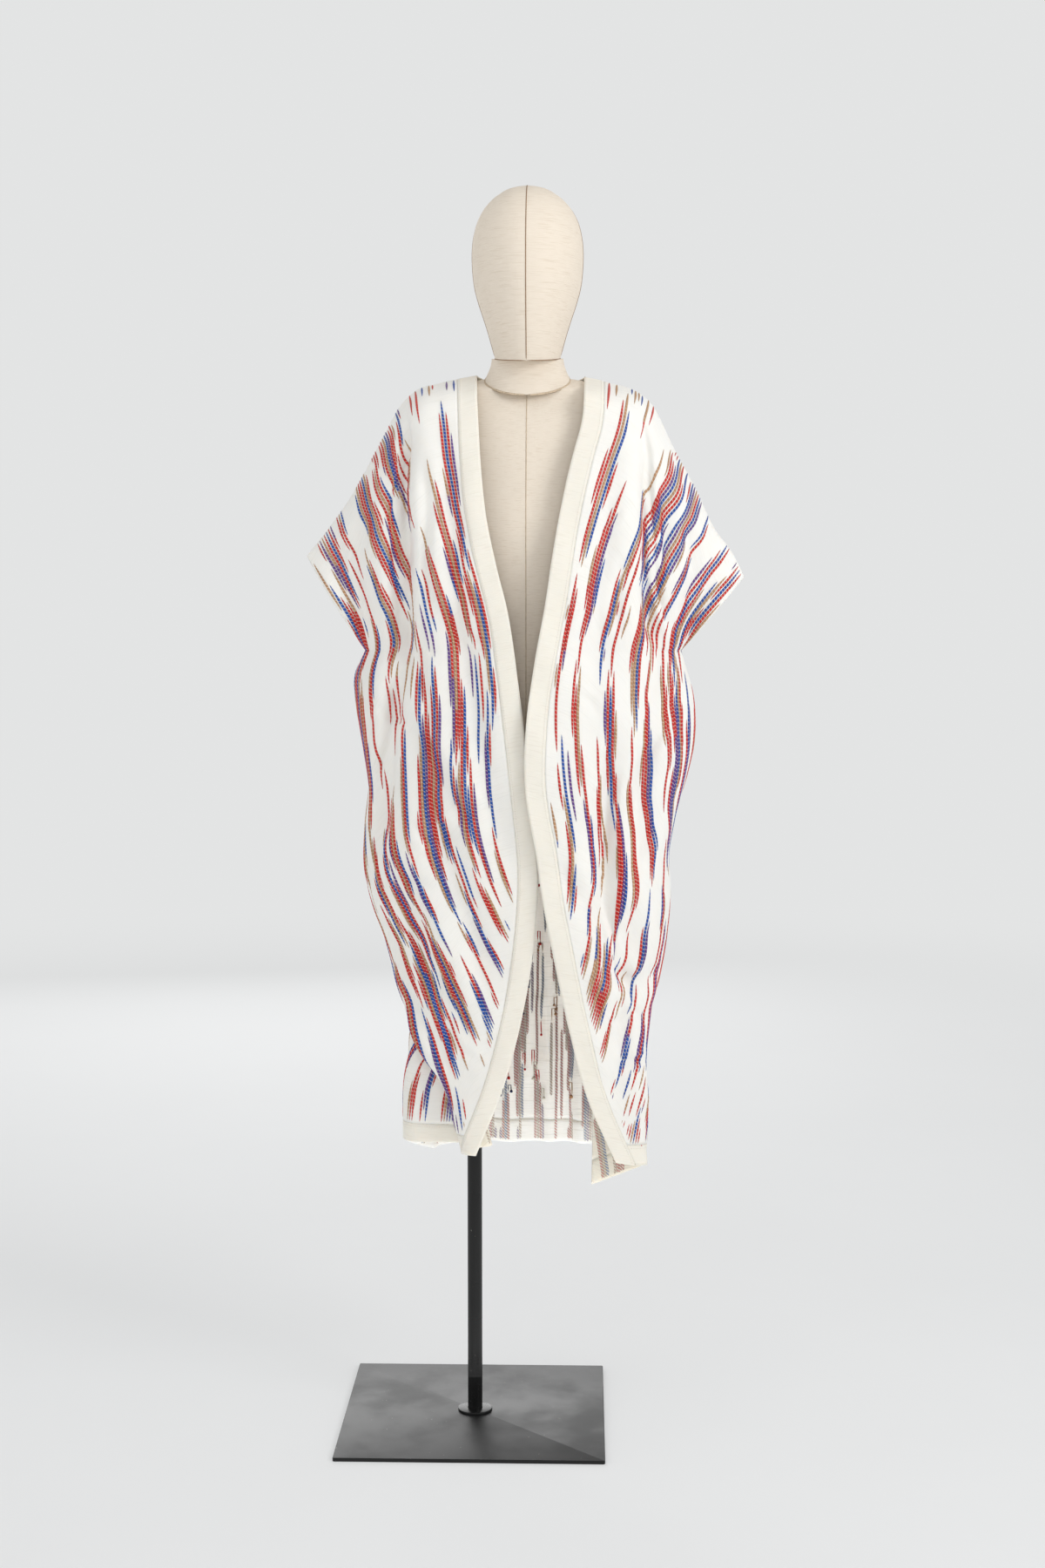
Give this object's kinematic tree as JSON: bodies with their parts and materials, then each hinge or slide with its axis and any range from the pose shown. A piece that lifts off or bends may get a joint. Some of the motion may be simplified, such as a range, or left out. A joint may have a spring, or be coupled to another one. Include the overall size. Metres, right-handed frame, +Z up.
{
  "type": "kimono on a dress form stand",
  "caption": "Open front kimono jacket with wide cap sleeves and narrow bands, worn on a limbless dress form with an egg head, on a pole and a square base plate.",
  "frame": {"origin": "centre of the base plate's underside, on the pole's axis", "axes": "+Z up along the pole; -Y is the front that the open edges face; +X is the wearer's left"},
  "size_m": [0.5848, 0.355, 1.6585],
  "materials": {
    "kimono_cloth": "off-white slub cotton with red, blue, purple and tan thread clusters",
    "kimono_band": "ecru plain weave cotton",
    "form_linen": "beige linen cover",
    "black_steel": "satin black powder coat"
  },
  "bodies": {
    "root": {"back": "kimono_cloth", "front_right": "kimono_cloth", "front_left": "kimono_cloth", "band_right": "kimono_band", "band_left": "kimono_band", "band_neck": "kimono_band", "hem_back": "kimono_band", "hem_right": "kimono_band", "hem_left": "kimono_band", "form_torso": "form_linen", "form_neck": "form_linen", "form_head": "form_linen", "stand_pole": "black_steel", "stand_flange": "black_steel", "stand_base": "black_steel"}
  },
  "joints": []
}
